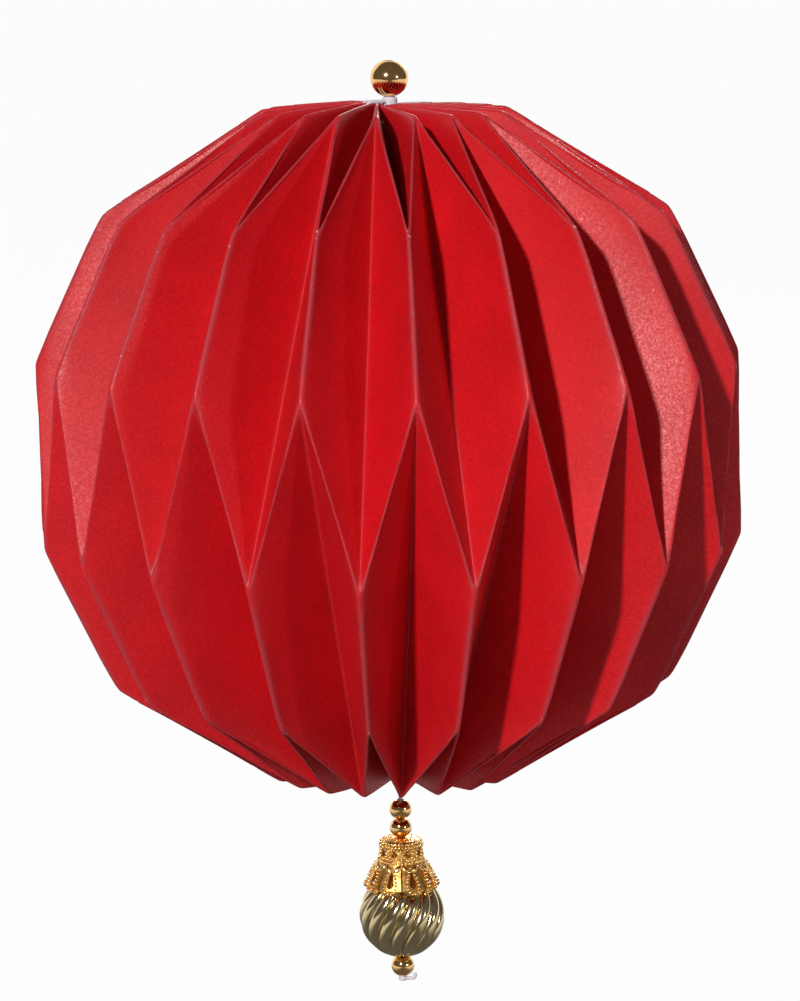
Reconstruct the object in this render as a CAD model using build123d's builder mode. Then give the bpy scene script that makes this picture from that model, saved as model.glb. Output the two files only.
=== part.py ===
from build123d import *
import os
from math import cos, radians, sin, sqrt

os.makedirs("parts", exist_ok=True)

# Folded paper globe ornament. Origin at the centre of the top bead, which it hangs from; +Z up.
# Every size is in millimetres, and every angle in degrees.

# Paper globe: one pleated sheet, closed into a ring and gathered at both poles
pleats = 20
sheet_thickness = 0.2
fold_gap = 0.14            # free gap between two layers pressed together at a fold
pleat_width = 13.2         # from one upright fold to the next, on the flat sheet
waist_radius = 47.8        # the two rings of fold corners beside the equator
waist_height = 11.8
shoulder_radius = 38.0
shoulder_height = 32.4
rim_radius = 17.1          # the rings of fold corners round the flat poles
rim_height = 45.3
pole_height = 45.85        # the gathered ridges
panel_rows = (3, 4, 4, 3)  # facets down each of the four panels of a pleat's side, which twist a little

# Threads
thread_radius = 0.25
stitch_clearance = 0.08
stitch_hole_sides = 6
stitch_inset = 1.6         # from the gathered edge of the sheet out to the stitch holes
stitch_depth = 2.2         # from the gathered ridges to the stitch holes
strand_pleat = -3          # the pleat where a gather thread goes in, one on from where it comes out
strand_clearance = 0.1     # over the ridges that the ends cross
strand_bend_radius = 0.5
strand_spread = 0.7        # between the two ends, in the knot
hanging_knot_radius = 1.05
hanging_knot_rounding = 0.5
hanging_knot_sink = 0.5    # into the hollow at the pole
tie_knot_radius = 0.8
tie_knot_rounding = 0.38
tie_knot_height = 1.6
end_knot_radius = 0.6
end_knot_rounding = 0.28
end_knot_height = 0.7
thread_end_reach = 1.7     # of the trimmed end, out from under the last bead
thread_end_rise = 0.8
thread_end_angle = 75.0    # round the axis from the front
thread_end_bend_radius = 0.4

# Top bead
top_bead_radius = 2.56
top_bead_height = 4.7
hang_hole_radius = 0.8
hang_hole_chamfer = 0.1
top_bead_standoff = 1.15   # from the gathered ridges up to the bead
piece_clearance = 0.05     # between neighbours that rest on each other

# Beads of the pendant
pendant_drop = 3.85        # from the lower pole down to the first spacer bead
spacer_radius = 1.53
spacer_height = 2.56
bead_hole_radius = 0.5
bead_hole_chamfer = 0.12
swirl_radius = 5.9
swirl_height = 11.7
swirl_pole_radius = 0.95
swirl_flutes = 15
flute_depth = 0.34
swirl_twist = 75.0         # turn of a flute from the top hole to the bottom hole
swirl_section_shares = (1, 0.97, 0.88, 0.7, 0.45, 0.15, -0.15, -0.45, -0.7, -0.88, -0.97, -1)
end_bead_radius = 1.57
end_bead_height = 2.8

# Filigree cap over the swirl bead. Drops are measured down from its hub.
cap_wall = 0.35
cap_hub_radius = 1.3
cap_shoulder_radius = 2.5
cap_shoulder_drop = 0.25
cap_crown_radius = 2.93
cap_crown_drop = 0.65
cap_throat_radius = 2.76
cap_throat_drop = 1.5
cap_neck_radius = 2.95
cap_neck_drop = 2.9
cap_flare_radius = 4.1
cap_flare_drop = 4.8
cap_skirt_radius = 5.0
cap_skirt_drop = 6.5
cap_edge_radius = 4.88
cap_edge_drop = 7.2
cap_petals = 9
cap_turn = -4.0            # of the first slit, round the axis from the front
window_radius = 0.46
window_drop = 1.95
petal_hole_radius = 0.5
petal_hole_tip_radius = 0.14
petal_hole_drop = 5.75
petal_hole_length = 1.5    # between the centres of its round foot and its tip
slit_width = 0.22
slit_top_drop = 3.8
notch_radius = 0.55
cut_overrun = 1.0


def ring_point(radius, height, angle, side=0.0):
    """The point at a radius, height and angle round the axis, moved along the ring by side."""
    turn = radians(angle)
    x = radius * sin(turn) + side * cos(turn)
    y = -radius * cos(turn) + side * sin(turn)
    return Vector(x, y, height)


# Heights of the whole string of pieces, from the top bead down
pole_level = -top_bead_height / 2 - top_bead_standoff
globe_level = pole_level - pole_height
lower_pole_level = globe_level - pole_height
upper_spacer_level = lower_pole_level - pendant_drop - spacer_height / 2
lower_spacer_level = upper_spacer_level - spacer_height - piece_clearance
cap_level = lower_spacer_level - spacer_height / 2 - piece_clearance


def bulge(radius, pole_radius, height):
    """Radius and offset of the arc of a round bead, through its equator and the rims of its hole."""
    offset = (radius ** 2 - pole_radius ** 2 - (height / 2) ** 2) / (2 * (radius - pole_radius))
    return radius - offset, offset


swirl_arc_radius, swirl_arc_offset = bulge(swirl_radius, swirl_pole_radius, swirl_height)
cap_seat_radius = cap_edge_radius - cap_wall
cap_seat_height = sqrt(swirl_arc_radius ** 2 - (cap_seat_radius - swirl_arc_offset) ** 2)
swirl_level = cap_level - cap_edge_drop - piece_clearance - cap_seat_height
end_bead_level = swirl_level - swirl_height / 2 - piece_clearance - end_bead_height / 2
end_knot_level = end_bead_level - end_bead_height / 2 - piece_clearance - end_knot_height / 2

# The fold lines of a pleat. An even line runs pole, shoulder, waist, lower rim, pole, and the odd line
# beside it is the same line upside down. Slanted folds join the corners of the two.
crease_width = sheet_thickness + fold_gap
half_pitch = 180.0 / pleats
gather_radius = crease_width / sin(radians(half_pitch))
gather_chord = 2 * gather_radius * sin(radians(half_pitch) / 2)
gathered_depth = sqrt(pleat_width ** 2 - gather_chord ** 2)
even_corners = [
    (gather_radius, pole_height - gathered_depth),
    (shoulder_radius, shoulder_height),
    (waist_radius, waist_height),
    (rim_radius, -rim_height),
    (gather_radius, -pole_height),
]
odd_corners = [(radius, -height) for radius, height in reversed(even_corners)]

# A slanted fold is as wide as the upright ones, so it takes up more of their length.
waist_chord = 2 * waist_radius * sin(radians(half_pitch) / 2)
slant_length = sqrt(waist_chord ** 2 + (2 * waist_height) ** 2)
slant_cut = crease_width * slant_length / pleat_width


def fold_line(corners):
    """Stations down one fold line, as radius and height, leaving room at its corners for slanted folds."""
    stations = []
    spans = list(zip(corners, corners[1:]))
    for index, (start, end) in enumerate(spans):
        run = Vector(end[0] - start[0], end[1] - start[1])
        first = 0 if index == 0 else slant_cut / 2
        last = run.length - (0 if index == len(spans) - 1 else slant_cut / 2)
        for row in range(panel_rows[index] + 1):
            reach = (first + (last - first) * row / panel_rows[index]) / run.length
            stations.append((start[0] + run.X * reach, start[1] + run.Y * reach))
    return stations


# The sheet's middle surface: each fold line is a narrow strip with two edges, and panels join the strips.
columns = []
for pleat in range(pleats):
    for stations, angle in [(fold_line(even_corners), 2 * half_pitch * pleat),
                            (fold_line(odd_corners), 2 * half_pitch * pleat + half_pitch)]:
        for side in (-crease_width / 2, crease_width / 2):
            columns.append([ring_point(r, globe_level + z, angle, side) for r, z in stations])
column_count = len(columns)
row_count = len(columns[0])


def cell(grid, column, row):
    """Corners of one cell of a grid that closes on itself, counter-clockwise from outside."""
    here = grid[column % len(grid)]
    beside = grid[(column + 1) % len(grid)]
    return [here[row], here[row + 1], beside[row + 1], beside[row]]


def cell_normal(column, row):
    a, b, c, d = cell(columns, column, row)
    return (c - a).cross(d - b).normalized()


def offset_grid(distance):
    """The middle surface moved out by a distance, each point along the normals that meet there."""
    moved = []
    for column in range(column_count):
        line = []
        for row in range(row_count):
            rows = [r for r in (row - 1, row) if 0 <= r < row_count - 1]
            normals = [cell_normal(side, r) for side in (column - 1, column) for r in rows]
            mean = sum(normals, Vector(0, 0, 0)).normalized()
            spread = sum(normal.dot(mean) for normal in normals) / len(normals)
            line.append(columns[column][row] + mean * (distance / spread))
        moved.append(line)
    return moved


def flat_face(corners):
    return Face(Wire.make_polygon(corners, close=True))


def split_face(corners, across_first):
    """Two triangles, split through the first corner or the second."""
    a, b, c, d = corners
    if across_first:
        return [flat_face([a, b, c]), flat_face([a, c, d])]
    return [flat_face([b, c, d]), flat_face([b, d, a])]


outer = offset_grid(sheet_thickness / 2)
inner = offset_grid(-sheet_thickness / 2)
sheet_faces = []
for column in range(column_count):
    is_fold = column % 2 == 0
    for row in range(row_count - 1):
        a, b, c, d = cell(columns, column, row)
        for grid in (outer, inner):
            corners = cell(grid, column, row)
            if is_fold:
                sheet_faces.append(flat_face(corners))
            else:
                sheet_faces += split_face(corners, (c - a).length < (d - b).length)
    for row in (0, row_count - 1):
        beside = (column + 1) % column_count
        edge = [outer[column][row], outer[beside][row], inner[beside][row], inner[column][row]]
        sheet_faces += split_face(edge, True)

# The stitches run round each pole, through a needle hole in every layer.
stitch_radius = gather_radius + stitch_inset
# How far the ridges climb from the gathered edge out to the stitches, where they don't fall
ridge_climb = max(0, (rim_height - pole_height) * stitch_inset / (rim_radius - gather_radius))
upper_stitch_level = pole_level + ridge_climb - stitch_depth
lower_stitch_level = lower_pole_level - ridge_climb + stitch_depth
stitch_hole_radius = (thread_radius + stitch_clearance) / cos(radians(180 / stitch_hole_sides))
stitch_holes = []
for level in (upper_stitch_level, lower_stitch_level):
    ring = []
    for layer in range(2 * pleats):
        corners = [radians(360 / stitch_hole_sides * side) for side in range(stitch_hole_sides + 1)]
        places = [(stitch_radius + stitch_hole_radius * cos(c), level + stitch_hole_radius * sin(c)) for c in corners]
        ring.append([ring_point(radius, height, half_pitch * layer) for radius, height in places])
    sides = [flat_face(cell(ring, layer, side)) for layer in range(2 * pleats) for side in range(stitch_hole_sides)]
    stitch_holes.append(Solid(Shell(sides)))

with BuildPart() as paper_globe:
    add(Solid(Shell(sheet_faces)))
    add(stitch_holes, mode=Mode.SUBTRACT)
paper_globe.part.label = "paper_globe"
export_step(paper_globe.part, "parts/paper_globe.step")


def bead_outline(level, radius, height, hole_radius, chamfer):
    """Half section of a round bead with a chamfered hole, inside a line being drawn."""
    mouth = hole_radius + chamfer
    top = level + height / 2
    bottom = level - height / 2
    ThreePointArc((mouth, top), (radius, level), (mouth, bottom))
    Polyline(
        (mouth, bottom),
        (hole_radius, bottom + chamfer),
        (hole_radius, top - chamfer),
        (mouth, top),
    )


def knot_outline(top, bottom, radius, rounding):
    """Half section of a tight knot, inside a line being drawn."""
    FilletPolyline((0, bottom), (radius, bottom), (radius, top), (0, top), radius=rounding)
    Line((0, top), (0, bottom))


def strand(points, bend_radii):
    """A length of thread along a bent line, inside a part being built."""
    with BuildLine():
        route = FilletPolyline(*points, radius=bend_radii)
    with BuildSketch(Plane(origin=route @ 0, z_dir=route % 0)) as section:
        Circle(thread_radius)
    sweep(section.sketch, path=route, transition=Transition.RIGHT)


def gather_strand(stitch_level, knot_level, crossing_level, angle):
    """A gather thread: out of the knot and down into a valley, round through the layers, and back up."""
    stitches = [ring_point(stitch_radius, stitch_level, angle + half_pitch * j) for j in range(2 * pleats - 1)]
    last_angle = angle - 2 * half_pitch
    strand(
        [
            ring_point(0, knot_level, angle - half_pitch, strand_spread / 2),
            ring_point(stitch_radius, crossing_level, angle),
            *stitches,
            ring_point(stitch_radius, crossing_level, last_angle),
            ring_point(0, knot_level, angle - half_pitch, -strand_spread / 2),
        ],
        [strand_bend_radius, *[0] * len(stitches), strand_bend_radius],
    )


strand_rise = sheet_thickness / 2 + strand_clearance + thread_radius
upper_strand_level = pole_level + strand_rise
lower_strand_level = lower_pole_level - strand_rise
strand_angle = 2 * half_pitch * strand_pleat
tie_knot_bottom = lower_strand_level - tie_knot_height / 2

with BuildPart() as top_bead:
    with BuildSketch(Plane.XZ):
        with BuildLine():
            bead_outline(0, top_bead_radius, top_bead_height, hang_hole_radius, hang_hole_chamfer)
        make_face()
    revolve()
top_bead.part.label = "top_bead"
export_step(top_bead.part, "parts/top_bead.step")

# White thread that gathers the upper pole, with its knot under the top bead
with BuildPart() as top_gather_thread:
    with BuildSketch(Plane.XZ):
        with BuildLine():
            knot_outline(
                -top_bead_height / 2 - piece_clearance,
                pole_level - hanging_knot_sink,
                hanging_knot_radius,
                hanging_knot_rounding,
            )
        make_face()
    revolve()
    gather_strand(upper_stitch_level, upper_strand_level, upper_strand_level + ridge_climb, strand_angle)
top_gather_thread.part.label = "top_gather_thread"
export_step(top_gather_thread.part, "parts/top_gather_thread.step")

# The same at the lower pole
with BuildPart() as bottom_gather_thread:
    with BuildSketch(Plane.XZ):
        with BuildLine():
            knot_outline(tie_knot_bottom + tie_knot_height, tie_knot_bottom, tie_knot_radius, tie_knot_rounding)
        make_face()
    revolve()
    gather_strand(
        lower_stitch_level, lower_strand_level, lower_strand_level - ridge_climb, strand_angle + half_pitch
    )
bottom_gather_thread.part.label = "bottom_gather_thread"
export_step(bottom_gather_thread.part, "parts/bottom_gather_thread.step")

# Thread that hangs from the lower knot, runs through the pendant and ends in a knot with a trimmed end
with BuildPart() as pendant_thread:
    with BuildSketch(Plane.XY.offset(end_knot_level)):
        Circle(thread_radius)
    extrude(amount=tie_knot_bottom - end_knot_level)
    with BuildSketch(Plane.XZ):
        with BuildLine():
            knot_outline(
                end_knot_level + end_knot_height / 2,
                end_knot_level - end_knot_height / 2,
                end_knot_radius,
                end_knot_rounding,
            )
        make_face()
    revolve()
    strand(
        [
            ring_point(0, end_knot_level, thread_end_angle),
            ring_point(thread_end_reach, end_knot_level, thread_end_angle),
            ring_point(thread_end_reach, end_knot_level + thread_end_rise, thread_end_angle),
        ],
        thread_end_bend_radius,
    )
pendant_thread.part.label = "pendant_thread"
export_step(pendant_thread.part, "parts/pendant_thread.step")

# Spacer beads between the globe and the cap
with BuildPart() as upper_spacer_bead:
    with BuildSketch(Plane.XZ):
        with BuildLine():
            bead_outline(upper_spacer_level, spacer_radius, spacer_height, bead_hole_radius, bead_hole_chamfer)
        make_face()
    revolve()
upper_spacer_bead.part.label = "upper_spacer_bead"
export_step(upper_spacer_bead.part, "parts/upper_spacer_bead.step")

with BuildPart() as lower_spacer_bead:
    with BuildSketch(Plane.XZ):
        with BuildLine():
            bead_outline(lower_spacer_level, spacer_radius, spacer_height, bead_hole_radius, bead_hole_chamfer)
        make_face()
    revolve()
lower_spacer_bead.part.label = "lower_spacer_bead"
export_step(lower_spacer_bead.part, "parts/lower_spacer_bead.step")

# Pressed filigree cap: a thin bell of petals under a pierced neck, sitting on the swirl bead
cap_outline = [
    (cap_shoulder_radius, cap_shoulder_drop),
    (cap_crown_radius, cap_crown_drop),
    (cap_throat_radius, cap_throat_drop),
    (cap_neck_radius, cap_neck_drop),
    (cap_flare_radius, cap_flare_drop),
    (cap_skirt_radius, cap_skirt_drop),
    (cap_edge_radius, cap_edge_drop),
]
cap_lining = [(radius - cap_wall, drop) for radius, drop in cap_outline]
cap_lining[0] = (cap_shoulder_radius - cap_wall / 2, cap_shoulder_drop + cap_wall)

with BuildPart() as filigree_cap:
    with BuildSketch(Plane.XZ):
        with BuildLine():
            outside = Polyline(*[(radius, cap_level - drop) for radius, drop in cap_outline])
            inside = Polyline(*[(radius, cap_level - drop) for radius, drop in cap_lining])
            Polyline(
                outside @ 0,
                (cap_hub_radius, cap_level),
                (bead_hole_radius, cap_level),
                (bead_hole_radius, cap_level - cap_wall),
                (cap_hub_radius, cap_level - cap_wall),
                inside @ 0,
            )
            Line(outside @ 1, inside @ 1)
        make_face()
    revolve()
    for petal in range(cap_petals):
        slit_angle = cap_turn + 360 / cap_petals * petal
        petal_angle = slit_angle + 180 / cap_petals
        outward = Plane(
            origin=(0, 0, cap_level), x_dir=ring_point(0, 0, petal_angle, 1), z_dir=ring_point(1, 0, petal_angle)
        )
        with BuildSketch(outward):
            with Locations((0, -window_drop)):
                Circle(window_radius)
        with BuildSketch(outward) as teardrop:
            with Locations((0, -petal_hole_drop)):
                Circle(petal_hole_radius)
            with Locations((0, petal_hole_length - petal_hole_drop)):
                Circle(petal_hole_tip_radius)
            make_hull()
        across = Plane(
            origin=(0, 0, cap_level), x_dir=ring_point(0, 0, slit_angle, 1), z_dir=ring_point(1, 0, slit_angle)
        )
        with BuildSketch(across):
            with Locations((0, -slit_top_drop)):
                Rectangle(slit_width, cap_edge_drop - slit_top_drop + cut_overrun, align=(Align.CENTER, Align.MAX))
            with Locations((0, -cap_edge_drop)):
                Circle(notch_radius)
        extrude(amount=cap_skirt_radius + cut_overrun, mode=Mode.SUBTRACT)
filigree_cap.part.label = "filigree_cap"
export_step(filigree_cap.part, "parts/filigree_cap.step")

# Hollow-stamped bead with flutes that twist from hole to hole
with BuildPart() as swirl_bead:
    for share in swirl_section_shares:
        height = share * swirl_height / 2
        crest = sqrt(swirl_arc_radius ** 2 - height ** 2) + swirl_arc_offset
        valley = crest - flute_depth * crest / swirl_radius
        twist = swirl_twist * share / 2
        with BuildSketch(Plane.XY.offset(swirl_level + height)):
            with BuildLine():
                for flute in range(swirl_flutes):
                    angle = twist + 360 / swirl_flutes * flute
                    ThreePointArc(
                        ring_point(valley, 0, angle),
                        ring_point(crest, 0, angle + 180 / swirl_flutes),
                        ring_point(valley, 0, angle + 360 / swirl_flutes),
                    )
            make_face()
    loft(ruled=True)
    with Locations((0, 0, swirl_level)):
        Cylinder(bead_hole_radius, swirl_height + cut_overrun, mode=Mode.SUBTRACT)
swirl_bead.part.label = "swirl_bead"
export_step(swirl_bead.part, "parts/swirl_bead.step")

# The last bead, which closes the pendant
with BuildPart() as end_bead:
    with BuildSketch(Plane.XZ):
        with BuildLine():
            bead_outline(end_bead_level, end_bead_radius, end_bead_height, bead_hole_radius, bead_hole_chamfer)
        make_face()
    revolve()
end_bead.part.label = "end_bead"
export_step(end_bead.part, "parts/end_bead.step")
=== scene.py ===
import math

import bpy
import numpy as np
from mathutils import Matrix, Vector


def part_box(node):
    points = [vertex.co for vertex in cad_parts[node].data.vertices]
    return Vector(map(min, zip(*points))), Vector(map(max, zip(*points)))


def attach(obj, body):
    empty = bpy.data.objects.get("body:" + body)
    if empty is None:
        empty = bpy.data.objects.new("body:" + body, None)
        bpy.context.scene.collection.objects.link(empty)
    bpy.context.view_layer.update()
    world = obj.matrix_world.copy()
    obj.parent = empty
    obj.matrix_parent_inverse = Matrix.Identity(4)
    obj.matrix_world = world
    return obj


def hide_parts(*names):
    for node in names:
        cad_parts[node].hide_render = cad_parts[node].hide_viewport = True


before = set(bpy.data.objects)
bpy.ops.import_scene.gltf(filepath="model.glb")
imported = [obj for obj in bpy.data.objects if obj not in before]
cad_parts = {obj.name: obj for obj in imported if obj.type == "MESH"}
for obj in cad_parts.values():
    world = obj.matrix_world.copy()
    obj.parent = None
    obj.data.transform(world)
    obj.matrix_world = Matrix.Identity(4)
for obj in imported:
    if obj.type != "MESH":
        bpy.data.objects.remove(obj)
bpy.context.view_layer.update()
MM = 0.001


# Paper globe: one sheet of red card with a pearl coating, scored and folded into twenty pleats with slanted
# folds between them, closed into a ring and gathered at both poles. One pleat is laid out from its fold
# lines and set round the ring, and the ring hangs a little out of true, as hand-folded paper does.
globe_low, globe_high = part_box("paper_globe")
globe_level = (globe_low.z + globe_high.z) / 2
PLEATS = 20
HALF_PITCH = math.pi / PLEATS
PAPER_THICKNESS = 0.2 * MM
FOLD_WIDTH = 0.34 * MM
FOLD_ROUNDING = 0.42 * MM
PLEAT_WIDTH = 13.2 * MM
GATHER_RADIUS = FOLD_WIDTH / math.sin(HALF_PITCH)
POLE_HEIGHT = 45.85 * MM
SHOULDER_RADIUS, SHOULDER_HEIGHT = 38.0 * MM, 32.4 * MM
WAIST_RADIUS, WAIST_HEIGHT = 47.8 * MM, 11.8 * MM
RIM_RADIUS, RIM_HEIGHT = 17.1 * MM, 45.3 * MM
SHOULDER_ROUNDING, WAIST_ROUNDING, RIM_ROUNDING = 1.3 * MM, 0.75 * MM, 0.9 * MM
PANEL_BOW = 0.18 * MM
gather_chord = 2 * GATHER_RADIUS * math.sin(HALF_PITCH / 2)
gathered_depth = math.sqrt(PLEAT_WIDTH ** 2 - gather_chord ** 2)
even_line = [
    (GATHER_RADIUS, POLE_HEIGHT - gathered_depth, 0),
    (SHOULDER_RADIUS, SHOULDER_HEIGHT, SHOULDER_ROUNDING),
    (WAIST_RADIUS, WAIST_HEIGHT, WAIST_ROUNDING),
    (RIM_RADIUS, -RIM_HEIGHT, RIM_ROUNDING),
    (GATHER_RADIUS, -POLE_HEIGHT, 0),
]
odd_line = [(radius, -height, rounding) for radius, height, rounding in reversed(even_line)]
SPAN_SHARES = (0.01, 0.05, 0.2, 0.5, 0.8, 0.95, 0.99)
CORNER_SHARES = (0, 0.17, 0.33, 0.5, 0.67, 0.83, 1)
ACROSS_SHARES = (
    0, 0.012, 0.035, 0.065, 0.1, 0.17, 0.28, 0.43, 0.57, 0.72, 0.83, 0.9, 0.935, 0.965, 0.988, 1,
)
FOLD_SHARES = (0.33, 0.67, 1.0)
SOFT_EDGE_SHARES = (0.6, 0.3, 0.1)
SLANTED_WEAR = (0.1, 0.45, 0.85, 1, 0.85, 0.45, 0.1)
RIDGE_STEP = 2.0 * MM
VALLEY_MIDDLE_WEAR = 0.3
CORNER_REACH = 2.6 * MM
SHOULDER_BLUNTNESS, WAIST_BLUNTNESS, RIM_BLUNTNESS = 0.8, 0.35, 0.12


def ring_point(radius, height, angle, side=0.0):
    """A point at an angle from the front, counted towards +X, moved along its ring by side."""
    x = radius * math.sin(angle) + side * math.cos(angle)
    y = -radius * math.cos(angle) + side * math.sin(angle)
    return np.array((x, y, height))


def rounded_corner(before, corner, after, share):
    """A point on the soft bend between two straight stretches."""
    return (1 - share) ** 2 * before + 2 * share * (1 - share) * corner + share ** 2 * after


def fold_stations(points, roundings):
    """Points down one fold line, close together where the slanted folds cross it."""
    stations = [points[0]]
    leave = points[0]
    for corner, after, rounding in zip(points[1:-1], points[2:], roundings[1:-1]):
        inward = (corner - leave) / np.linalg.norm(corner - leave)
        onward = (after - corner) / np.linalg.norm(after - corner)
        arrive = corner - inward * rounding
        stations += [leave + (arrive - leave) * share for share in SPAN_SHARES]
        next_leave = corner + onward * rounding
        stations += [rounded_corner(arrive, corner, next_leave, share) for share in CORNER_SHARES]
        leave = next_leave
    stations += [leave + (points[-1] - leave) * share for share in SPAN_SHARES]
    stations.append(points[-1])
    return np.array(stations)


def fold_edge(fold, side):
    """One edge of a fold's strip, down the whole globe."""
    line = odd_line if fold % 2 else even_line
    angle = HALF_PITCH * fold
    points = [ring_point(radius, globe_level + height, angle, side) for radius, height, _ in line]
    return fold_stations(points, [rounding for _, _, rounding in line])


def fold_wear(fold):
    """How much each station of a fold stands out as a ridge."""
    here = np.linalg.norm(fold_edge(fold, 0)[:, :2], axis=1)
    beside = np.linalg.norm(fold_edge(fold + 1, 0)[:, :2], axis=1)
    return np.clip((here - beside) / RIDGE_STEP, 0, 1)


plain_rows = [0] * len(SPAN_SHARES)
slanted_wear = np.array([0] + (plain_rows + list(SLANTED_WEAR)) * 3 + plain_rows + [0])
columns = []
marks = []
for fold in range(2):
    near, far = fold_edge(fold, FOLD_WIDTH / 2), fold_edge(fold + 1, -FOLD_WIDTH / 2)
    beyond, following = fold_edge(fold + 1, FOLD_WIDTH / 2), fold_edge(fold + 2, -FOLD_WIDTH / 2)
    width = np.linalg.norm(far - near, axis=1)[:, None]
    start = near + (far - near) * FOLD_ROUNDING / width
    end = far - (far - near) * FOLD_ROUNDING / width
    normal = np.cross(end - start, np.gradient(near + far, axis=0))
    normal /= np.linalg.norm(normal, axis=1)[:, None]
    ridge_here, ridge_next = fold_wear(fold), fold_wear(fold + 1)
    for step, share in enumerate(ACROSS_SHARES):
        columns.append(start + (end - start) * share + normal * PANEL_BOW * 4 * share * (1 - share))
        ridge = ridge_here if share < 0.5 else ridge_next
        from_fold = min(step, len(ACROSS_SHARES) - 1 - step)
        near_fold = SOFT_EDGE_SHARES[from_fold] if from_fold < len(SOFT_EDGE_SHARES) else 0.0
        marks.append((np.maximum(near_fold * ridge, slanted_wear), near_fold * (1 - ridge)))
    middle = (far + beyond) / 2
    next_width = np.linalg.norm(following - beyond, axis=1)[:, None]
    next_start = beyond + (following - beyond) * FOLD_ROUNDING / next_width
    for share in FOLD_SHARES:
        columns.append(rounded_corner(end, far, middle, share))
        marks.append((ridge_next, (1 - ridge_next) * (1 + VALLEY_MIDDLE_WEAR - share)))
    for share in FOLD_SHARES[:-1]:
        columns.append(rounded_corner(middle, beyond, next_start, share))
        marks.append((ridge_next, (1 - ridge_next) * (VALLEY_MIDDLE_WEAR + share)))
turn = np.array(((math.cos(2 * HALF_PITCH), math.sin(2 * HALF_PITCH), 0),
                 (-math.sin(2 * HALF_PITCH), math.cos(2 * HALF_PITCH), 0), (0, 0, 1)))
columns.append(columns[0] @ turn)
marks.append(marks[0])
corners = []
for fold in range(3):
    height_sign = -1 if fold % 2 else 1
    for (radius, height, _), bluntness in zip(
        even_line[1:-1], (SHOULDER_BLUNTNESS, WAIST_BLUNTNESS, RIM_BLUNTNESS)
    ):
        spot = ring_point(radius, globe_level + height_sign * height, HALF_PITCH * fold)
        corners.append((spot, bluntness))
for column, (ridge, valley) in enumerate(marks):
    blunt = np.zeros(len(columns[column]))
    for corner, bluntness in corners:
        away = np.linalg.norm(columns[column] - corner, axis=1)
        blunt = np.maximum(blunt, bluntness * np.clip(1 - away / CORNER_REACH, 0, 1))
    marks[column] = (ridge, valley, blunt)


def new_piece(name, mesh):
    """An object that holds a mesh, put in the scene."""
    made = bpy.data.objects.new(name, mesh)
    bpy.context.scene.collection.objects.link(made)
    return made


def grid_mesh(name, points, closed=True):
    """A mesh over a grid of points, whose columns go round and whose rows go down."""
    across_count, down_count = points.shape[:2]
    faces = []
    for column in range(across_count if closed else across_count - 1):
        beside = (column + 1) % across_count
        for row in range(down_count - 1):
            here = column * down_count + row
            there = beside * down_count + row
            faces.append((here, here + 1, there + 1, there))
    mesh = bpy.data.meshes.new(name)
    mesh.from_pydata(points.reshape(-1, 3).tolist(), [], faces)
    for polygon in mesh.polygons:
        polygon.use_smooth = True
    return new_piece(name, mesh)


def bake_modifiers(piece):
    """Turns a piece with its modifiers into a plain mesh."""
    depsgraph = bpy.context.evaluated_depsgraph_get()
    mesh = bpy.data.meshes.new_from_object(piece.evaluated_get(depsgraph))
    piece.modifiers.clear()
    piece.data = mesh


class Wire:
    """A socket in a node tree. Sums and products of wires add the Math nodes that work them out."""

    def __init__(self, tree, socket):
        self.tree = tree
        self.socket = socket

    def node(self, kind, settings=None, sockets=None, output=0):
        """Adds a node with its settings, then its sockets' values or links, and gives one of its outputs."""
        made = self.tree.nodes.new(kind)
        for name, value in (settings or {}).items():
            setattr(made, name, value)
        for key, value in (sockets or {}).items():
            if isinstance(value, Wire):
                self.tree.links.new(value.socket, made.inputs[key])
            else:
                made.inputs[key].default_value = value
        return Wire(self.tree, made.outputs[output])

    def math(self, operation, *others):
        return self.node("ShaderNodeMath", {"operation": operation}, dict(enumerate((self, *others))))

    def __add__(self, other):
        return self.math("ADD", other)

    def __sub__(self, other):
        return self.math("SUBTRACT", other)

    def __rsub__(self, other):
        return self * -1 + other

    def __mul__(self, other):
        return self.math("MULTIPLY", other)

    def __truediv__(self, other):
        return self.math("DIVIDE", other)

    __radd__ = __add__
    __rmul__ = __mul__

    def limit(self):
        return self.node("ShaderNodeClamp", None, {"Value": self})

    def blend(self, first, second):
        """A colour between two, by this share."""
        return self.node("ShaderNodeMix", {"data_type": "RGBA"}, {0: self, 6: first, 7: second}, 2)


def geometry_tree(name, sizes):
    """A Geometry Nodes tree with named inputs for its geometry and its sizes, and a wire from each."""
    tree = bpy.data.node_groups.new(name, "GeometryNodeTree")
    tree.interface.new_socket("Geometry", in_out="INPUT", socket_type="NodeSocketGeometry")
    for size, kind in sizes.items():
        tree.interface.new_socket(size, in_out="INPUT", socket_type=kind)
    tree.interface.new_socket("Geometry", in_out="OUTPUT", socket_type="NodeSocketGeometry")
    entry = tree.nodes.new("NodeGroupInput")
    wires = {size: Wire(tree, entry.outputs[size]) for size in ("Geometry", *sizes)}
    return tree, wires


def close_tree(tree, geometry, material):
    """Ends a Geometry Nodes tree in real geometry with its material."""
    real = geometry.node("GeometryNodeRealizeInstances", None, {0: geometry})
    painted = real.node("GeometryNodeSetMaterial", None, {"Geometry": real, "Material": material})
    tree.links.new(painted.socket, tree.nodes.new("NodeGroupOutput").inputs[0])


def run_tree(piece, tree, values):
    """Adds a Geometry Nodes modifier to a piece and sets the tree's named inputs."""
    modifier = piece.modifiers.new(tree.name, "NODES")
    modifier.node_group = tree
    for item in tree.interface.items_tree:
        if item.name in values:
            modifier[item.identifier] = values[item.name]


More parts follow.
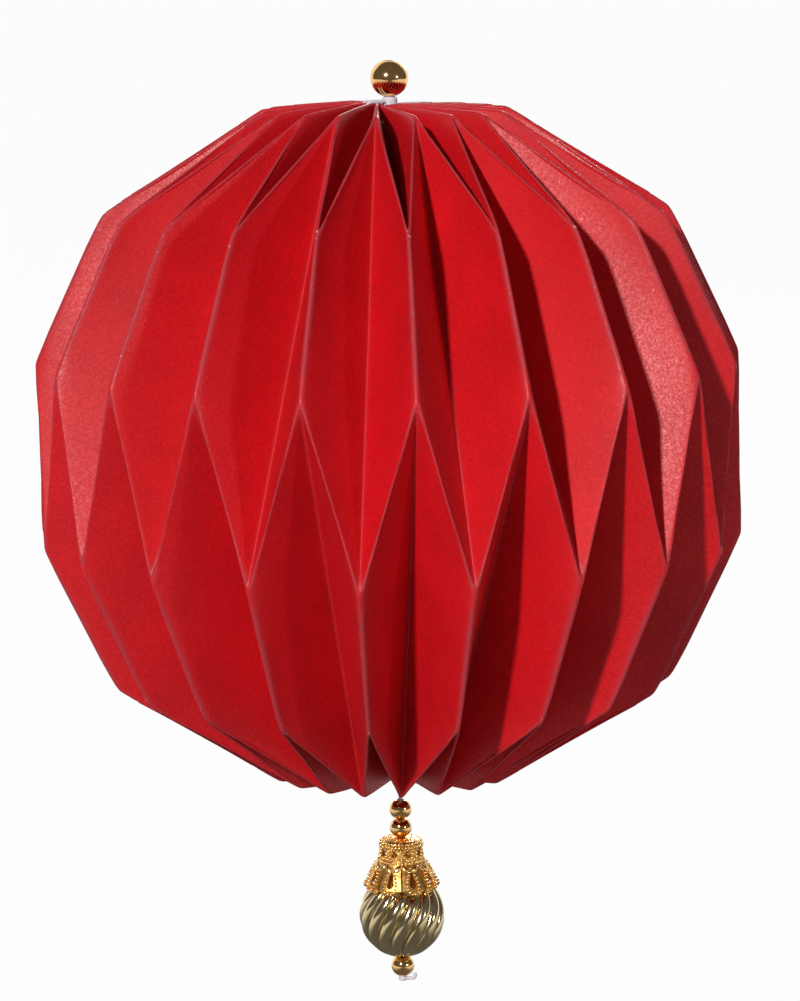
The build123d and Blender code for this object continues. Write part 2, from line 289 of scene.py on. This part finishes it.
def new_material(name, **constants):
    """A material with its constants set, its Principled shader, and a wire from the object's coordinates."""
    material = bpy.data.materials.new(name)
    material.use_nodes = True
    tree = material.node_tree
    shader = tree.nodes["Principled BSDF"]
    for key, value in constants.items():
        shader.inputs[key.replace("_", " ")].default_value = value
    return material, shader, Wire(tree, tree.nodes.new("ShaderNodeTexCoord").outputs["Object"])


def feed(shader, name, value):
    """Links a worked-out value to one socket of the shader."""
    value.tree.links.new(value.socket, shader.inputs[name])


RED = (0.66, 0.0045, 0.011, 1)
DEEP_RED = (0.43, 0.002, 0.006, 1)
RUBBED_RED = (0.40, 0.032, 0.045, 1)
BARE_PAPER = (0.74, 0.44, 0.45, 1)
PEARL = (1.0, 0.56, 0.66, 1)
paper, shader, place = new_material(
    "pearl_paper", Coat_Roughness=0.36, Coat_Tint=PEARL, Coat_IOR=1.6, Specular_IOR_Level=0.3,
)
ridge_share, valley_share, corner_share = [
    place.node("ShaderNodeAttribute", {"attribute_name": mark}, None, 2)
    for mark in ("ridge", "valley", "corner")
]
cloud = place.node("ShaderNodeTexNoise", None, {"Vector": place, "Scale": 90.0, "Detail": 2.0})
grain = place.node("ShaderNodeTexNoise", None, {
    "Vector": place, "Scale": 3600.0, "Detail": 1.0, "Roughness": 0.7,
})
flake = place.node("ShaderNodeTexVoronoi", None, {"Vector": place, "Scale": 4200.0}, 1)
scuff = place.node("ShaderNodeTexNoise", None, {
    "Vector": place, "Scale": 1700.0, "Detail": 2.0, "Roughness": 0.8,
})
sparkle = ((flake - 0.93) * 14.0).limit()
rubbed = (ridge_share * (scuff * 1.7 - 0.15 + flake * 0.3) + valley_share * (scuff * 0.9 - 0.1)).limit()
bare = ((ridge_share * (corner_share * 0.2 + 0.3) + scuff + flake * 0.3 - 1.21) * 9.0).limit()
shade = (cloud - 0.5 + grain * 0.6 + flake * 0.6).limit()
colour = rubbed.blend(shade.blend(DEEP_RED, RED), RUBBED_RED)
feed(shader, "Base Color", bare.blend(colour, BARE_PAPER))
feed(shader, "Roughness", grain * 0.3 + 0.4 + ridge_share * 0.2)
feed(shader, "Coat Weight", (flake * flake * 0.42 + sparkle * 0.7 + 0.03) * (1 - ridge_share * 0.6))
relief = grain * 0.6 + flake * 0.4
feed(shader, "Normal", relief.node(
    "ShaderNodeBump", None, {"Height": relief, "Strength": 0.55, "Distance": 0.03 * MM},
))

globe = grid_mesh("folded_globe", np.array(columns), closed=False)
for mark, values in zip(("ridge", "valley", "corner"), zip(*marks)):
    attribute = globe.data.attributes.new(mark, "FLOAT", "POINT")
    spread = [np.broadcast_to(value, len(columns[0])) for value in values]
    attribute.data.foreach_set("value", np.concatenate(spread).astype(np.float32))

UNEVEN_ONCE, UNEVEN_ONCE_BESIDE = math.radians(-1.37), math.radians(-0.2)
UNEVEN_TWICE, UNEVEN_TWICE_BESIDE = math.radians(-0.22), math.radians(-0.16)
GLOBE_SHIFT = -0.74 * MM
GLOBE_LEAN = math.radians(0.307)
WAVE_DEPTH = 0.35 * MM
WAVE_SCALE = 38.0
TOP_GATHER_SHIFT, TOP_GATHER_LIFT, TOP_LIFT_WIDTH = -1.7 * MM, 0.6 * MM, 3.0 * MM
CORNER_BLUR, CORNER_BLUR_STRENGTH = 12, 1.6
SEAM_DISTANCE = 0.003 * MM
tree, wires = geometry_tree("pleated_ring", {
    "Pleats": "NodeSocketInt",
    "Seam distance": "NodeSocketFloat",
    "Uneven once": "NodeSocketFloat",
    "Uneven once beside": "NodeSocketFloat",
    "Uneven twice": "NodeSocketFloat",
    "Uneven twice beside": "NodeSocketFloat",
    "Shift": "NodeSocketFloat",
    "Lean": "NodeSocketFloat",
    "Top gather shift": "NodeSocketFloat",
    "Top gather lift": "NodeSocketFloat",
    "Top lift width": "NodeSocketFloat",
    "Corner blur": "NodeSocketInt",
    "Corner blur strength": "NodeSocketFloat",
    "Level": "NodeSocketFloat",
    "Rim radius": "NodeSocketFloat",
    "Wave depth": "NodeSocketFloat",
    "Wave scale": "NodeSocketFloat",
    "Material": "NodeSocketMaterial",
})
pleat = wires["Geometry"]
spots = pleat.node("GeometryNodePoints", None, {"Count": wires["Pleats"]})
index = pleat.node("GeometryNodeInputIndex")
turned = pleat.node("ShaderNodeCombineXYZ", None, {"Z": index * (2 * math.pi) / wires["Pleats"]})
ring = pleat.node("GeometryNodeInstanceOnPoints", None, {
    "Points": spots, "Instance": pleat, "Rotation": turned,
})
joined = ring.node("GeometryNodeRealizeInstances", None, {0: ring})
joined = joined.node("GeometryNodeMergeByDistance", None, {
    "Geometry": joined, "Distance": wires["Seam distance"],
})
spot = joined.node("GeometryNodeInputPosition")
corner = joined.node("GeometryNodeInputNamedAttribute", {"data_type": "FLOAT"}, {"Name": "corner"})
soft = spot.node("GeometryNodeBlurAttribute", {"data_type": "FLOAT_VECTOR"}, {
    "Value": spot, "Iterations": wires["Corner blur"],
    "Weight": (corner * wires["Corner blur strength"]).limit(),
})
joined = joined.node("GeometryNodeSetPosition", None, {"Geometry": joined, "Position": soft})
x, y, z = [spot.node("ShaderNodeSeparateXYZ", None, {0: spot}, axis) for axis in range(3)]
angle = x.math("ARCTAN2", y * -1)
drift = (wires["Uneven once"] * angle.math("SINE")
         + wires["Uneven once beside"] * (angle.math("COSINE") - 1)
         + wires["Uneven twice"] * (angle * 2).math("SINE")
         + wires["Uneven twice beside"] * ((angle * 2).math("COSINE") - 1))
swung = spot.node("ShaderNodeVectorRotate", {"rotation_type": "Z_AXIS"}, {"Vector": spot, "Angle": drift})
loose = ((x * x + y * y).math("SQRT") / wires["Rim radius"]).math("MINIMUM", 1.0)
wave = spot.node("ShaderNodeTexNoise", None, {
    "Vector": spot, "Scale": wires["Wave scale"], "Detail": 1.0,
}, 1)
wave = wave.node("ShaderNodeVectorMath", {"operation": "SUBTRACT"}, {0: wave, 1: (0.5, 0.5, 0.5)})
wave = wave.node("ShaderNodeVectorMath", {"operation": "SCALE"}, {
    0: wave, "Scale": wires["Wave depth"] * loose,
})
near_top = (1 - loose) * ((z - wires["Level"]) / wires["Rim radius"]).limit()
on_the_left = (x / (wires["Top lift width"] * -1)).limit()
leaning = (wires["Shift"] + wires["Lean"] * (z - wires["Level"])) * loose
hang = spot.node("ShaderNodeCombineXYZ", None, {
    "X": leaning + wires["Top gather shift"] * near_top,
    "Z": x * wires["Lean"] * loose * -1 + wires["Top gather lift"] * near_top * on_the_left,
})
shifted = spot.node("ShaderNodeVectorMath", {"operation": "ADD"}, {0: swung, 1: hang})
shifted = spot.node("ShaderNodeVectorMath", {"operation": "ADD"}, {0: shifted, 1: wave})
hung = joined.node("GeometryNodeSetPosition", None, {"Geometry": joined, "Position": shifted})
close_tree(tree, hung, wires["Material"])
run_tree(globe, tree, {
    "Pleats": PLEATS,
    "Seam distance": SEAM_DISTANCE,
    "Uneven once": UNEVEN_ONCE,
    "Uneven once beside": UNEVEN_ONCE_BESIDE,
    "Uneven twice": UNEVEN_TWICE,
    "Uneven twice beside": UNEVEN_TWICE_BESIDE,
    "Shift": GLOBE_SHIFT,
    "Lean": GLOBE_LEAN,
    "Top gather shift": TOP_GATHER_SHIFT,
    "Top gather lift": TOP_GATHER_LIFT,
    "Top lift width": TOP_LIFT_WIDTH,
    "Corner blur": CORNER_BLUR,
    "Corner blur strength": CORNER_BLUR_STRENGTH,
    "Level": globe_level,
    "Rim radius": RIM_RADIUS,
    "Wave depth": WAVE_DEPTH,
    "Wave scale": WAVE_SCALE,
    "Material": paper,
})
thickness = globe.modifiers.new("thickness", "SOLIDIFY")
thickness.thickness = PAPER_THICKNESS
thickness.offset = 0
bake_modifiers(globe)
for polygon in globe.data.polygons:
    polygon.use_smooth = True
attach(globe, "root")
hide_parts("paper_globe")


# Gather threads and pendant thread: waxed white polyester cord, stitched through the layers at each pole and
# tied off in a knot. The pendant hangs from the lower knot and ends in another.
THREAD_WHITE, THREAD_GREY = (0.74, 0.72, 0.80, 1), (0.58, 0.55, 0.64, 1)
thread, shader, place = new_material("white_thread", Roughness=0.6, Sheen_Weight=0.3, Sheen_Roughness=0.5)
twist = place.node("ShaderNodeTexWave", {"bands_direction": "DIAGONAL"}, {
    "Vector": place, "Scale": 900.0, "Distortion": 1.5, "Detail": 2.0,
})
fibre = place.node("ShaderNodeTexNoise", None, {"Vector": place, "Scale": 6000.0, "Detail": 2.0})
feed(shader, "Base Color", (twist * 0.6 + fibre * 0.4).limit().blend(THREAD_GREY, THREAD_WHITE))
relief = twist + fibre * 0.4
feed(shader, "Normal", relief.node(
    "ShaderNodeBump", None, {"Height": relief, "Strength": 0.5, "Distance": 0.06 * MM},
))


def assign(node, material):
    """Gives a material to a CAD node."""
    for held in bpy.data.objects[node].material_slots:
        held.material = material


for node in ("top_gather_thread", "bottom_gather_thread", "pendant_thread"):
    assign(node, thread)


# Round beads: hollow brass beads with a polished gold plating. The top one takes the hanging cord, two small
# ones space the pendant, and one closes it. All are turned to the same round form with a chamfered hole.
HANG_HOLE_RADIUS, HANG_HOLE_CHAMFER = 0.8 * MM, 0.1 * MM
BEAD_HOLE_RADIUS, BEAD_HOLE_CHAMFER = 0.5 * MM, 0.12 * MM
BEAD_SEGMENTS, BEAD_ROWS = 96, 48
WELD_DISTANCE = 0.001 * MM


def weld_seams(piece):
    """Joins the points of a piece that lie on each other, and leaves it a plain mesh."""
    weld = piece.modifiers.new("weld", "WELD")
    weld.merge_threshold = WELD_DISTANCE
    bake_modifiers(piece)


def lathe(name, outline):
    """A closed piece of revolution from an outline of radius and height, drawn downwards on its outside."""
    angles = [2 * math.pi / BEAD_SEGMENTS * step for step in range(BEAD_SEGMENTS)]
    closed_outline = outline + outline[:1]
    points = [[ring_point(radius, height, angle) for radius, height in closed_outline] for angle in angles]
    piece = grid_mesh(name, np.array(points))
    weld_seams(piece)
    return piece


def round_bead(name, hole_radius, chamfer):
    """A bead in place of a CAD one, through the same equator, height and hole."""
    low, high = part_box(name)
    radius = (high.x - low.x) / 2
    half = (high.z - low.z) / 2
    level = (high.z + low.z) / 2
    mouth = hole_radius + chamfer
    offset = (radius ** 2 - mouth ** 2 - half ** 2) / (2 * (radius - mouth))
    arc = radius - offset
    reach = math.asin(half / arc)
    turns = [reach - 2 * reach * step / BEAD_ROWS for step in range(BEAD_ROWS + 1)]
    outline = [(offset + arc * math.cos(turn), level + arc * math.sin(turn)) for turn in turns]
    outline += [(hole_radius, level - half + chamfer), (hole_radius, level + half - chamfer)]
    return lathe(name + "_polished", outline)


GOLD, LIGHT_GOLD = (0.88, 0.44, 0.13, 1), (0.98, 0.66, 0.30, 1)
gold, shader, place = new_material("polished_gold", Metallic=1.0)
smear = place.node("ShaderNodeTexNoise", None, {
    "Vector": place, "Scale": 1100.0, "Detail": 4.0, "Roughness": 0.65,
})
feed(shader, "Base Color", smear.blend(GOLD, LIGHT_GOLD))
feed(shader, "Roughness", smear * 0.16 + 0.03)
feed(shader, "Normal", smear.node(
    "ShaderNodeBump", None, {"Height": smear, "Strength": 0.12, "Distance": 0.04 * MM},
))
for name, hole_radius, chamfer in [
    ("top_bead", HANG_HOLE_RADIUS, HANG_HOLE_CHAMFER),
    ("upper_spacer_bead", BEAD_HOLE_RADIUS, BEAD_HOLE_CHAMFER),
    ("lower_spacer_bead", BEAD_HOLE_RADIUS, BEAD_HOLE_CHAMFER),
    ("end_bead", BEAD_HOLE_RADIUS, BEAD_HOLE_CHAMFER),
]:
    bead = round_bead(name, hole_radius, chamfer)
    bead.data.materials.append(gold)
    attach(bead, "root")
    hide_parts(name)


# Filigree cap: a pressed and pierced brass cap of nine petals in warm gold, with rows of granules round its
# crown, its neck and each petal's opening, and leaves over the petals.
cap_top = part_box("filigree_cap")[1].z
CAP_PETALS = 9
CAP_TURN = math.radians(-4.0)
PETAL_PITCH = 2 * math.pi / CAP_PETALS
cap_outline = np.array([
    (0.0, 1.3), (0.25, 2.5), (0.65, 2.93), (1.5, 2.76), (2.9, 2.95), (4.8, 4.1), (6.5, 5.0), (7.2, 4.88),
]) * MM
ORANGE_GOLD, LIGHT_ORANGE_GOLD = (0.86, 0.40, 0.07, 1), (1.0, 0.66, 0.22, 1)
filigree, shader, place = new_material("filigree_gold", Metallic=1.0)
etch = place.node("ShaderNodeTexNoise", None, {"Vector": place, "Scale": 1900.0, "Detail": 3.0})
feed(shader, "Base Color", etch.blend(ORANGE_GOLD, LIGHT_ORANGE_GOLD))
feed(shader, "Roughness", etch * 0.3 + 0.2)
feed(shader, "Normal", etch.node(
    "ShaderNodeBump", None, {"Height": etch, "Strength": 0.5, "Distance": 0.12 * MM},
))
assign("filigree_cap", filigree)
GRANULE_GOLD, LIGHT_GRANULE_GOLD = (0.96, 0.55, 0.14, 1), (1.0, 0.80, 0.42, 1)
granule_gold, shader, place = new_material("granule_gold", Metallic=1.0, Roughness=0.24)
shine = place.node("ShaderNodeTexNoise", None, {"Vector": place, "Scale": 1200.0, "Detail": 1.0})
feed(shader, "Base Color", shine.blend(GRANULE_GOLD, LIGHT_GRANULE_GOLD))


def cap_point(angle, drop, side=0.0, proud=0.0):
    """A point on the cap's outside, at a drop below its top, moved sideways and out."""
    radius = float(np.interp(drop, cap_outline[:, 0], cap_outline[:, 1])) + proud
    return ring_point(radius, cap_top - drop, angle + side / radius)


GRANULE_RADIUS, GRANULE_SPACING = 0.2 * MM, 0.48 * MM
CROWN_DROP, COLLAR_DROP, NECK_DROP = 0.5 * MM, 0.98 * MM, 3.1 * MM
SPOKE_DROPS = (0.05 * MM, 0.25 * MM, 0.55 * MM)
SLIT_DROPS = (1.5 * MM, 2.6 * MM)
ROW_PROUD, SPOKE_PROUD, SLIT_PROUD = 0.06 * MM, 0.02 * MM, 0.03 * MM
LOOP_TOP, LOOP_FOOT, LOOP_HALF_WIDTH = 3.7 * MM, 5.9 * MM, 1.12 * MM
LOOP_TIP_TAPER = 1.2
LOOP_PROUD = 0.8 * GRANULE_RADIUS
WINDOW_DROP, WINDOW_LOOP_RADIUS = 1.95 * MM, 0.74 * MM
PITCH_STEPS, LOOP_STEPS = 12, 36


def cap_row(drop, proud):
    """A level row round the cap."""
    steps = range(PITCH_STEPS * CAP_PETALS + 1)
    return [cap_point(PETAL_PITCH / PITCH_STEPS * step, drop, 0, proud) for step in steps]


def petal_loop(angle):
    """A drop-shaped row round a petal's opening, from its tip down round its foot and back."""
    middle = (LOOP_TOP + LOOP_FOOT + LOOP_HALF_WIDTH) / 2
    reach = (LOOP_FOOT + LOOP_HALF_WIDTH - LOOP_TOP) / 2
    row = []
    for step in range(LOOP_STEPS + 1):
        turn = 2 * math.pi * step / LOOP_STEPS
        side = LOOP_HALF_WIDTH * math.sin(turn) * math.sin(turn / 2) ** LOOP_TIP_TAPER
        row.append(cap_point(angle, middle - reach * math.cos(turn), side, LOOP_PROUD))
    return row


def window_loop(angle):
    """A round row about a window in the neck."""
    row = []
    for step in range(LOOP_STEPS + 1):
        turn = 2 * math.pi * step / LOOP_STEPS
        side = WINDOW_LOOP_RADIUS * math.sin(turn)
        drop = WINDOW_DROP - WINDOW_LOOP_RADIUS * math.cos(turn)
        row.append(cap_point(angle, drop, side, ROW_PROUD))
    return row


rows = [cap_row(CROWN_DROP, 0), cap_row(COLLAR_DROP, ROW_PROUD), cap_row(NECK_DROP, ROW_PROUD)]
for petal in range(CAP_PETALS):
    petal_angle = CAP_TURN + PETAL_PITCH * (petal + 0.5)
    slit_angle = CAP_TURN + PETAL_PITCH * petal
    rows.append(petal_loop(petal_angle))
    rows.append(window_loop(petal_angle))
    rows.append([cap_point(petal_angle, drop, 0, SPOKE_PROUD) for drop in SPOKE_DROPS])
    rows.append([cap_point(slit_angle, drop, 0, SLIT_PROUD) for drop in SLIT_DROPS])
row_points = [tuple(point) for row in rows for point in row]
row_edges = []
first = 0
for row in rows:
    row_edges += [(first + step, first + step + 1) for step in range(len(row) - 1)]
    first += len(row)
row_mesh = bpy.data.meshes.new("cap_granules")
row_mesh.from_pydata(row_points, row_edges, [])
granules = new_piece("cap_granules", row_mesh)
tree, wires = geometry_tree("granule_rows", {
    "Radius": "NodeSocketFloat",
    "Spacing": "NodeSocketFloat",
    "Material": "NodeSocketMaterial",
})
lines = wires["Geometry"].node("GeometryNodeMeshToCurve", None, {0: wires["Geometry"]})
lines = lines.node("GeometryNodeResampleCurve", {"mode": "LENGTH"}, {
    "Curve": lines, "Length": wires["Spacing"],
})
ball = lines.node("GeometryNodeMeshIcoSphere", None, {"Radius": wires["Radius"], "Subdivisions": 2})
ball = ball.node("GeometryNodeSetShadeSmooth", None, {0: ball})
balls = lines.node("GeometryNodeInstanceOnPoints", None, {"Points": lines, "Instance": ball})
close_tree(tree, balls, wires["Material"])
run_tree(granules, tree, {"Radius": GRANULE_RADIUS, "Spacing": GRANULE_SPACING, "Material": granule_gold})
bake_modifiers(granules)
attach(granules, "root")

LEAF_LENGTH, LEAF_WIDTH, LEAF_HEIGHT = 1.25 * MM, 0.72 * MM, 0.34 * MM
LEAF_DROP, LEAF_SIDE = 3.75 * MM, 0.7 * MM
LEAF_PROUD, LEAF_PROBE = 0.05 * MM, 0.4 * MM
LEAF_LEAN = math.radians(32.0)
LEAF_TIP_TAPER = 1.3
LEAF_SIDES, LEAF_RINGS = 10, 8
leaf_points, leaf_faces = [], []
for petal in range(CAP_PETALS):
    for hand in (-1, 1):
        angle = CAP_TURN + PETAL_PITCH * (petal + 0.5)
        middle = cap_point(angle, LEAF_DROP, hand * LEAF_SIDE, LEAF_PROUD)
        above = cap_point(angle, LEAF_DROP - LEAF_PROBE, hand * LEAF_SIDE, LEAF_PROUD)
        beside = cap_point(angle, LEAF_DROP, hand * LEAF_SIDE + LEAF_PROBE, LEAF_PROUD)
        upward = (above - middle) / np.linalg.norm(above - middle)
        sideways = (beside - middle) / np.linalg.norm(beside - middle)
        outward = np.cross(sideways, upward)
        along = upward * math.cos(LEAF_LEAN) + sideways * hand * math.sin(LEAF_LEAN)
        across = np.cross(along, outward)
        first = len(leaf_points)
        for ring_step in range(LEAF_RINGS + 1):
            fall = math.pi * ring_step / LEAF_RINGS
            swell = math.sin(fall) ** LEAF_TIP_TAPER
            for side_step in range(LEAF_SIDES):
                turn = 2 * math.pi * side_step / LEAF_SIDES
                leaf_points.append(tuple(
                    middle - along * LEAF_LENGTH / 2 * math.cos(fall)
                    + across * LEAF_WIDTH / 2 * swell * math.cos(turn)
                    + outward * LEAF_HEIGHT / 2 * swell * math.sin(turn)
                ))
        for ring_step in range(LEAF_RINGS):
            for side_step in range(LEAF_SIDES):
                beside_step = (side_step + 1) % LEAF_SIDES
                low, high = first + ring_step * LEAF_SIDES, first + (ring_step + 1) * LEAF_SIDES
                leaf_faces.append((low + side_step, low + beside_step, high + beside_step, high + side_step))
leaf_mesh = bpy.data.meshes.new("cap_leaves")
leaf_mesh.from_pydata(leaf_points, [], leaf_faces)
for polygon in leaf_mesh.polygons:
    polygon.use_smooth = True
leaves = new_piece("cap_leaves", leaf_mesh)
weld_seams(leaves)
leaves.data.materials.append(granule_gold)
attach(leaves, "root")


# Swirl bead: a hollow bead pressed from thin brass, with fifteen flutes that turn as they run from hole to
# hole. Each flute is a round lobe between two sharp valleys. Pale gold plating.
swirl_low, swirl_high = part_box("swirl_bead")
swirl_level = (swirl_low.z + swirl_high.z) / 2
swirl_half = (swirl_high.z - swirl_low.z) / 2
SWIRL_RADIUS = 5.9 * MM
SWIRL_MOUTH = 0.95 * MM
FLUTES = 15
FLUTE_DEPTH = 0.95 * MM
FLUTE_TWIST = math.radians(66.0)
STRAIGHT_END = 0.25
FLUTE_STEPS, FLUTE_ROWS = 16, 80
swirl_offset = (SWIRL_RADIUS ** 2 - SWIRL_MOUTH ** 2 - swirl_half ** 2) / (2 * (SWIRL_RADIUS - SWIRL_MOUTH))
swirl_arc = SWIRL_RADIUS - swirl_offset
swirl_reach = math.asin(swirl_half / swirl_arc)
swirl_columns = []
for step in range(FLUTES * FLUTE_STEPS):
    share = step / FLUTE_STEPS % 1
    lobe = math.sqrt(max(0.0, 1 - (2 * share - 1) ** 2))
    column = []
    for row in range(FLUTE_ROWS + 1):
        turn = swirl_reach - 2 * swirl_reach * row / FLUTE_ROWS
        radius = swirl_offset + swirl_arc * math.cos(turn)
        swell = math.sqrt(max(0.0, radius - SWIRL_MOUTH) / (SWIRL_RADIUS - SWIRL_MOUTH))
        radius -= FLUTE_DEPTH * (1 - lobe) * swell
        height = swirl_arc * math.sin(turn)
        run = 0.5 + height / (2 * swirl_half)
        angle = 2 * math.pi / FLUTES * step / FLUTE_STEPS + FLUTE_TWIST * math.hypot(run, STRAIGHT_END)
        column.append(ring_point(radius, swirl_level + height, angle))
    column.append(ring_point(BEAD_HOLE_RADIUS, swirl_level - swirl_half, angle))
    column.append(ring_point(BEAD_HOLE_RADIUS, swirl_level + swirl_half, angle))
    column.append(column[0])
    swirl_columns.append(column)
swirl = grid_mesh("swirl_bead_fluted", np.array(swirl_columns))
weld_seams(swirl)
DULL_PALE_GOLD, BRIGHT_PALE_GOLD = (0.58, 0.42, 0.19, 1), (0.82, 0.68, 0.42, 1)
pale_gold, shader, place = new_material("pale_gold", Metallic=1.0)
haze = place.node("ShaderNodeTexNoise", None, {"Vector": place, "Scale": 800.0, "Detail": 4.0})
feed(shader, "Base Color", haze.blend(DULL_PALE_GOLD, BRIGHT_PALE_GOLD))
feed(shader, "Roughness", haze * 0.2 + 0.04)
feed(shader, "Normal", haze.node(
    "ShaderNodeBump", None, {"Height": haze, "Strength": 0.3, "Distance": 0.09 * MM},
))
swirl.data.materials.append(pale_gold)
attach(swirl, "root")
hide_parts("swirl_bead")


# Studio: the ornament hangs over a plain pale floor, which curves up into a backdrop. A small lamp stands to
# the left of the camera, a weaker one to its right, and a broad one behind lights only the back.
STAND_ANGLE = math.radians(-4.2)
CAMERA_RISE = math.radians(9.29)
CAMERA_ROLL = math.radians(-0.872)
CAMERA_DISTANCE = 520.0 * MM
FOCAL_PIXELS = 3830.0
FRAME_HEIGHT = 1001.0
SENSOR_HEIGHT = 24.0
CAMERA_LEFT, CAMERA_DOWN = -0.58 * MM, 7.79 * MM
NEAREST_SEEN = 10.0 * MM


def direction(angle, rise):
    """From the object towards something at an angle round from the front and a rise over the horizon."""
    return Vector((math.sin(angle) * math.cos(rise), -math.cos(angle) * math.cos(rise), math.sin(rise)))


camera_data = bpy.data.cameras.new("camera")
camera_data.sensor_fit = "VERTICAL"
camera_data.sensor_height = SENSOR_HEIGHT
camera_data.lens = FOCAL_PIXELS / FRAME_HEIGHT * SENSOR_HEIGHT
camera_data.clip_start = NEAREST_SEEN
camera = bpy.data.objects.new("camera", camera_data)
bpy.context.scene.collection.objects.link(camera)
bpy.context.scene.camera = camera
back = direction(STAND_ANGLE, CAMERA_RISE)
right = Vector((math.cos(STAND_ANGLE), math.sin(STAND_ANGLE), 0))
up = back.cross(right)
centre = Vector((0, 0, globe_level))
camera.location = centre - right * CAMERA_LEFT - up * CAMERA_DOWN + back * CAMERA_DISTANCE
camera.rotation_euler = back.to_track_quat("Z", "Y").to_euler()
camera.rotation_euler.rotate_axis("Z", CAMERA_ROLL)


def lamp(name, angle, rise, distance, size, power, colour):
    """A square soft lamp that faces the globe."""
    data = bpy.data.lights.new(name, "AREA")
    data.size = size
    data.energy = power
    data.color = colour
    made = bpy.data.objects.new(name, data)
    bpy.context.scene.collection.objects.link(made)
    towards = direction(STAND_ANGLE + angle, CAMERA_RISE + rise)
    made.location = centre + towards * distance
    made.rotation_euler = towards.to_track_quat("Z", "Y").to_euler()


LAMP_WHITE, SIDE_LAMP_WHITE = (1.0, 0.98, 0.95), (1.0, 0.97, 0.95)
lamp(
    "main_lamp", angle=math.radians(-22.0), rise=math.radians(15.5),
    distance=1.2, size=0.06, power=13.2, colour=LAMP_WHITE,
)
lamp(
    "side_lamp", angle=math.radians(47.0), rise=math.radians(1.0),
    distance=1.3, size=0.12, power=1.95, colour=SIDE_LAMP_WHITE,
)
lamp(
    "back_lamp", angle=math.radians(170.0), rise=math.radians(4.0),
    distance=1.2, size=0.3, power=6.5, colour=LAMP_WHITE,
)
bpy.data.objects["back_lamp"].visible_camera = False

FLOOR_DROP = 190.0 * MM
FLOOR_HALF_WIDTH = 2.5
FLOOR_GREY = (0.42, 0.42, 0.42, 1)
FLOOR_SHADOW_SHARE = 0.03
BACKDROP_START, SIDE_START, GLOW_RISE = 0.35, 0.12, 4.0
BACKDROP_GLOW, SIDE_GLOW, FRONT_GLOW = 0.9, 0.75, 0.14
floor_level = globe_level - FLOOR_DROP
floor_outline = [
    (-1.2, 0), (0.3, 0), (0.8, 0), (1.1, 0.03), (1.35, 0.12), (1.5, 0.3), (1.55, 0.6), (1.55, 2.4),
]
floor_edges = (FLOOR_HALF_WIDTH, -FLOOR_HALF_WIDTH)
floor_points = [[(x, y, floor_level + z) for y, z in floor_outline] for x in floor_edges]
floor = grid_mesh("studio_floor", np.array(floor_points), closed=False)
floor_paint, shader, place = new_material("floor_paint", Base_Color=FLOOR_GREY, Roughness=0.9)
tree = floor_paint.node_tree
path = tree.nodes.new("ShaderNodeLightPath")
x, y = [place.node("ShaderNodeSeparateXYZ", None, {0: place}, axis) for axis in range(2)]
behind = ((y - BACKDROP_START) * GLOW_RISE).limit()
aside = ((x.math("ABSOLUTE") - SIDE_START) * GLOW_RISE).limit()
seen = Wire(tree, path.outputs["Is Camera Ray"]) + Wire(tree, path.outputs["Is Transmission Ray"])
mirrored = Wire(tree, path.outputs["Is Glossy Ray"])
strength = (seen + mirrored * (behind * BACKDROP_GLOW + aside * SIDE_GLOW + FRONT_GLOW)).limit()
white = place.node("ShaderNodeEmission", None, {"Color": (1, 1, 1, 1), "Strength": strength})
share = (seen * (1 - FLOOR_SHADOW_SHARE) + mirrored).limit()
surface = place.node("ShaderNodeMixShader", None, {0: share, 1: Wire(tree, shader.outputs[0]), 2: white})
tree.links.new(surface.socket, tree.nodes["Material Output"].inputs["Surface"])
floor.data.materials.append(floor_paint)

AMBIENT = 0.11
world = bpy.data.worlds.new("studio")
bpy.context.scene.world = world
world.use_nodes = True
tree = world.node_tree
path = tree.nodes.new("ShaderNodeLightPath")
background = tree.nodes["Background"]
seen = Wire(tree, path.outputs["Is Camera Ray"])
tree.links.new((seen * (1 - AMBIENT) + AMBIENT).socket, background.inputs["Strength"])
background.inputs["Color"].default_value = (1, 1, 1, 1)

bpy.context.scene.view_settings.view_transform = "Standard"
